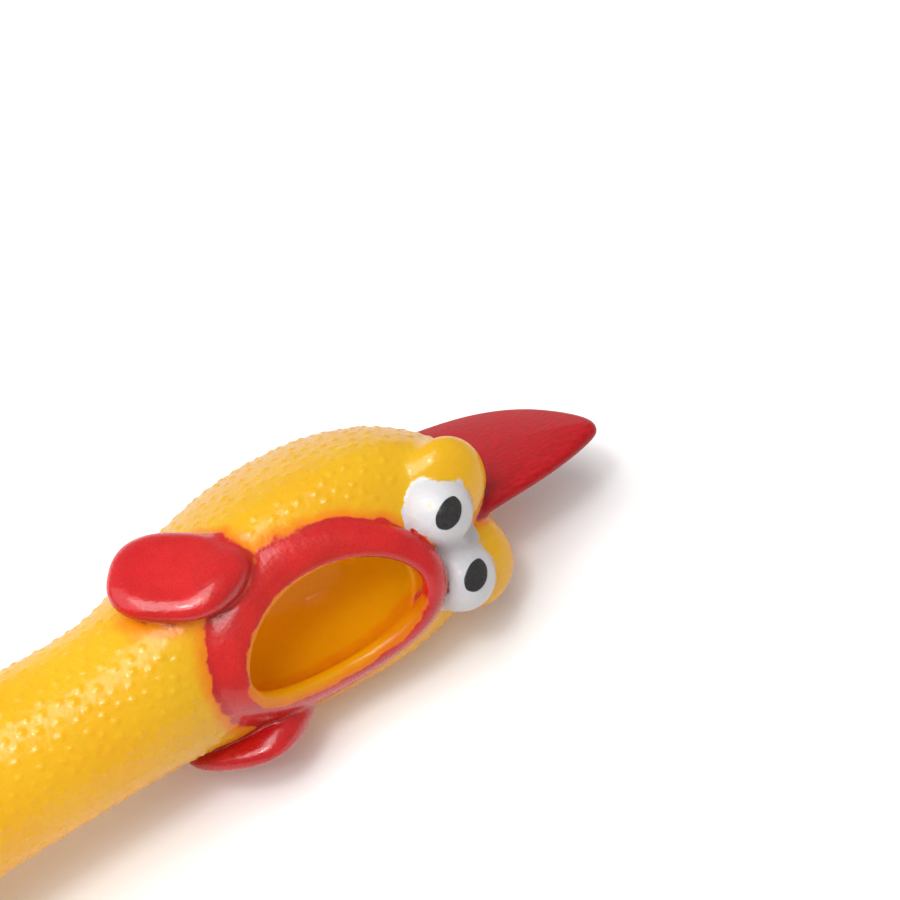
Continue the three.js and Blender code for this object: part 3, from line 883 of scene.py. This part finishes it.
def painted_vinyl():
    """Glossy yellow vinyl with sprayed red and brushed white paint, and painted light inside the
    mouth: an orange for bounced light, lighter deep inside against the shade there.
    """
    m = Surface("painted_vinyl")
    broad, fine = m.noise(0.04, 2), m.noise(1.6, 3)
    skin_tone = m.mix(m.between(broad, 0.3, 0.7), AMBER, YELLOW)
    skin_tone = m.mix(m.between(m.noise(0.3, 2), 0.45, 0.8, 0, 0.3), skin_tone, LEMON)
    mouth_edge = m.ragged("mouth_edge", 0.2, 0.5)
    # Painted light: the mouth's inside is orange for bounced light, and lighter deep inside than at
    # its rim to even out the shade.
    mouth_painted_light = m.mix(m.between(mouth_edge, -6, 0), MOUTH_PAINTED_LIGHT_DEEP, MOUTH_PAINTED_LIGHT_RIM)
    skin_tone = m.mix(m.between(mouth_edge, 0.3, -0.3), skin_tone, mouth_painted_light)
    red_edge = m.ragged("red_edge", 0.22, 0.55)
    spray = m.mix(m.between(red_edge, 3.0, 0.2, 0, 0.8), skin_tone, SPRAY)
    red_tone = m.mix(m.between(m.noise(0.12, 2), 0.3, 0.75), DEEP_RED, RED)
    on_red = m.between(red_edge, 0.5, -0.2)
    painted = m.mix(on_red, spray, red_tone)
    white_edge = m.ragged("white_edge", 0.3, 0.5)
    on_white = m.between(white_edge, 0.25, -0.15)
    colour = m.mix(on_white, painted, WHITE)
    gloss = m.between(fine, 0.3, 0.7, 0.2, 0.3)
    gloss = m.math("ADD", gloss, m.math("MULTIPLY", on_red, 0.04))
    gloss = m.math("ADD", gloss, m.math("MULTIPLY", on_white, 0.16))
    film = m.math("ADD", on_red, on_white)
    lumps = m.bump(m.noise(0.45, 2), 0.0004, 0.5)
    grain = m.bump(fine, 0.00005, 0.5, lumps)
    m.set(
        base_color=colour,
        roughness=gloss,
        normal=m.bump(film, 0.00008, 1, grain),
        subsurface_weight=0.35,
        subsurface_radius=(1.0, 0.35, 0.05),
        subsurface_scale=0.003,
        specular_ior_level=m.math("SUBTRACT", 0.5, m.math("MULTIPLY", on_red, 0.2)),
        coat_weight=m.math("SUBTRACT", 0.48, m.math("MULTIPLY", on_white, 0.33)),
        coat_roughness=0.1,
        ior=1.45,
    )
    bare = m.math("SUBTRACT", 1.0, m.math("MULTIPLY", film, 0.9))
    share = m.between(mouth_edge, 0.5, -0.5, GLOW_SHARE, GLOW_IN_MOUTH)
    m.glow(m.math("MULTIPLY", bare, share), GLOW)
    return m.material


def comb_vinyl():
    """Red vinyl with a fine leathery grain that runs along the comb."""
    m = Surface("comb_vinyl")
    m.rest = m.node("ShaderNodeMapping", 0, {"Vector": m.rest, "Scale": (0.35, 0.8, 0.8)})
    grain = m.noise(1.3, 4.0, 0.65)
    m.set(
        base_color=m.mix(m.between(grain, 0.35, 0.7), COMB_DARK, COMB_RED),
        roughness=m.between(grain, 0.3, 0.7, 0.36, 0.5),
        normal=m.bump(grain, 0.0002, 0.6),
        subsurface_weight=0.25,
        subsurface_radius=(1.0, 0.15, 0.1),
        subsurface_scale=0.003,
        specular_ior_level=0.3,
        ior=1.45,
    )
    return m.material


def pupil_gloss():
    """Gloss black print with a slightly uneven surface."""
    m = Surface("pupil_gloss")
    specks = m.noise(1.5, 3)
    m.set(
        base_color=m.mix(m.between(specks, 0.3, 0.8), INK, WORN_INK),
        roughness=m.between(specks, 0.3, 0.7, 0.15, 0.28),
        normal=m.bump(specks, 0.00008, 0.6),
        coat_weight=0.4,
        coat_roughness=0.08,
    )
    return m.material


def moulded_plastic(name, light, dark, roughness):
    """Moulded plastic with faint flow marks, in metres, as a CAD node has no rest attribute."""
    m = Surface(name)
    m.rest = m.node("ShaderNodeTexCoord", "Object", {})
    marks = m.noise(160, 3)
    m.set(
        base_color=m.mix(m.between(marks, 0.3, 0.75), dark, light),
        roughness=m.between(marks, 0.3, 0.7, roughness - 0.05, roughness + 0.08),
        normal=m.bump(m.noise(900, 3), 0.00004, 0.5),
        ior=1.5,
    )
    return m.material


# ---------- Pieces ----------


def wings():
    """Both wings, the left one the mirror image of the right."""
    points, quads = surface_of(wing, *WING_BOX, STEP)
    points = onto(wing, points)
    made = {}
    for side, flip in (("right", 1), ("left", -1)):
        rest = points * (1, 1, flip)
        own = quads[:, ::flip]
        placed = pressed_flat(to_row(rest))
        made[side] = vinyl_object("wing_" + side, placed, own, normals_of(placed, own), rest)
    return made


def pupil(side):
    """A printed pupil: a thin disc on the eyeball, whose edge goes a little way into it."""
    rings, around = 10, 72
    centre = np.array(EYE) * (1, 1, SIGN[side])
    ahead = np.array(LOOKS[side]) / np.linalg.norm(LOOKS[side])
    tilt = math.radians(PUPIL_TILT)
    long = np.array((math.cos(tilt), 0, math.sin(tilt)))
    long = long - ahead * (long @ ahead)
    long /= np.linalg.norm(long)
    wide = np.cross(ahead, long)
    points, proud = [np.zeros(3)], [PUPIL_PROUD]
    for r in range(1, rings + 1):
        share = math.sin(r / rings * math.pi / 2)
        for a in range(around):
            turn = 2 * math.pi * a / around
            wobble = 1 + 0.012 * math.sin(3 * turn + 1) + 0.008 * math.sin(7 * turn)
            u, v = PUPIL_SIZE[0] * math.cos(turn), PUPIL_SIZE[1] * math.sin(turn)
            points.append((long * u + wide * v) * share * wobble)
            proud.append(PUPIL_PROUD if r < rings else PUPIL_SUNK)
    points, size = np.array(points), np.array(EYE_SIZE)
    # Each point goes out along the pupil's look until it meets the eyeball.
    a = ((ahead / size) ** 2).sum()
    b = (points * ahead / size**2).sum(1)
    c = ((points / size) ** 2).sum(1) - 1
    out = (-b + np.sqrt(b * b - a * c)) / a
    rest = points + ahead * (out + np.array(proud))[:, None] + centre
    quads = [(0, 1 + a, 1 + (a + 1) % around, 0) for a in range(around)]
    for r in range(rings - 1):
        i, j = 1 + r * around, 1 + (r + 1) * around
        for a in range(around):
            b = (a + 1) % around
            quads.append((i + a, j + a, j + b, i + b))
    placed = to_row(rest)
    faces = [tuple(dict.fromkeys(q)) for q in quads]  # the middle ones are triangles
    return new_object("print_" + side, placed, faces, normals_of(placed, np.array(quads)), rest)


def build_chicken():
    skins = split_skin()
    flaps = wings()
    vinyl = painted_vinyl()
    for piece in skins.values():
        piece.data.materials.append(vinyl)
    skins["comb"].data.materials[0] = comb_vinyl()

    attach(skins["torso"], "torso")
    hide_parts("torso_skin")
    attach(skins["tail"], "torso")
    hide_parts("tail")
    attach(skins["belly"], "torso")
    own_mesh(skins["belly"])
    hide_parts("belly_skin")
    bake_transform(skins["neck_base"])
    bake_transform(skins["neck_mid"])
    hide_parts("neck_lower_skin")
    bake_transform(skins["neck_top"])
    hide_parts("neck_upper_skin")
    for label, node in (
        ("head", "head_skin"),
        ("lips", "mouth_lip"),
        ("lining", "mouth_lining"),
        ("comb", "comb"),
        ("wattle_right", "wattle_right"),
        ("wattle_left", "wattle_left"),
        ("eye_right", "eye_right"),
        ("eye_left", "eye_left"),
    ):
        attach(skins[label], "head")
        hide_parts(node)

    black = pupil_gloss()
    for side in ("right", "left"):
        print_ = pupil(side)
        print_.data.materials.append(black)
        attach(print_, "head")
        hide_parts("pupil_" + side)

        flap = flaps[side]
        flap.data.materials.append(vinyl)
        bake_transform(flap)
        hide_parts("wing_" + side)

        parts = ("hip", "leg", "ankle", "foot")
        hip, leg_, ankle, foot_ = (skins[f"{part}_{side}"] for part in parts)
        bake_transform(hip)
        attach(leg_, "leg_" + side)
        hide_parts("leg_" + side)
        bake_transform(ankle)
        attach(foot_, "foot_" + side)
        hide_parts("foot_" + side)

    cream = moulded_plastic("cream_plastic", CREAM, CREAM_DARK, 0.35)
    clear = moulded_plastic("reed_film", FILM, FILM_DARK, 0.2)
    for name, material in (
        ("whistle_body", cream),
        ("whistle_cap", cream),
        ("reed_base", cream),
        ("reed_tongue", clear),
    ):
        node = frame["nodes"][name]
        node.data.materials.clear()
        node.data.materials.append(material)


# ---------- Studio ----------


def way(direction):
    """A direction in the chicken's own axes, in the row frame."""
    return Vector(np.array(direction) @ TO_ROW).normalized()


def add_camera():
    data = bpy.data.cameras.new("camera")
    data.lens = LENS
    data.clip_start = 0.01
    camera = bpy.data.objects.new("camera", data)
    bpy.context.scene.collection.objects.link(camera)
    back, up = way(CAMERA_WAY), way(CAMERA_UP)
    right = up.cross(back).normalized()
    up = back.cross(right)
    place = Matrix((right, up, back)).transposed().to_4x4()
    place.translation = row_point(*LOOK_AT) + back * CAMERA_DISTANCE
    camera.matrix_world = place
    bpy.context.scene.camera = camera


def add_light(name, place, target, size, energy):
    """A square light, in metres and watts, that shines from place to target."""
    data = bpy.data.lights.new(name, "AREA")
    data.shape = "SQUARE"
    data.size = size
    data.energy = energy
    light = bpy.data.objects.new(name, data)
    bpy.context.scene.collection.objects.link(light)
    light.location = place
    light.rotation_mode = "QUATERNION"
    light.rotation_quaternion = (Vector(place) - Vector(target)).to_track_quat("Z", "Y")


def add_floor():
    bpy.ops.mesh.primitive_plane_add(size=6, location=(0, 0, -0.0001))
    floor = bpy.context.object
    floor.name = "floor"
    m = Surface("floor_paper")
    m.rest = m.node("ShaderNodeTexCoord", "Object", {})
    m.set(base_color=m.mix(m.noise(4, 2), PAPER, PAPER_LIGHT), roughness=0.6)
    floor.data.materials.append(m.material)


def add_studio():
    add_camera()
    add_floor()
    head = row_point(0, 0, 0)
    add_light("softbox", head + Vector((-0.25, 0.1, 0.9)), head, 0.7, 7.6)
    add_light("lamp", head + way((-0.25, -0.5, 0.8)) * 0.9, head, 0.14, 1.5)
    add_light("fill", head + Vector((-0.8, 0.5, 0.8)), head, 1.2, 6.4)
    world = bpy.data.worlds.new("studio")
    bpy.context.scene.world = world
    world.use_nodes = True
    background = world.node_tree.nodes["Background"]
    background.inputs["Color"].default_value = (1, 1, 1, 1)
    background.inputs["Strength"].default_value = WORLD_STRENGTH
    bpy.context.scene.view_settings.view_transform = "Standard"


build_chicken()
add_studio()
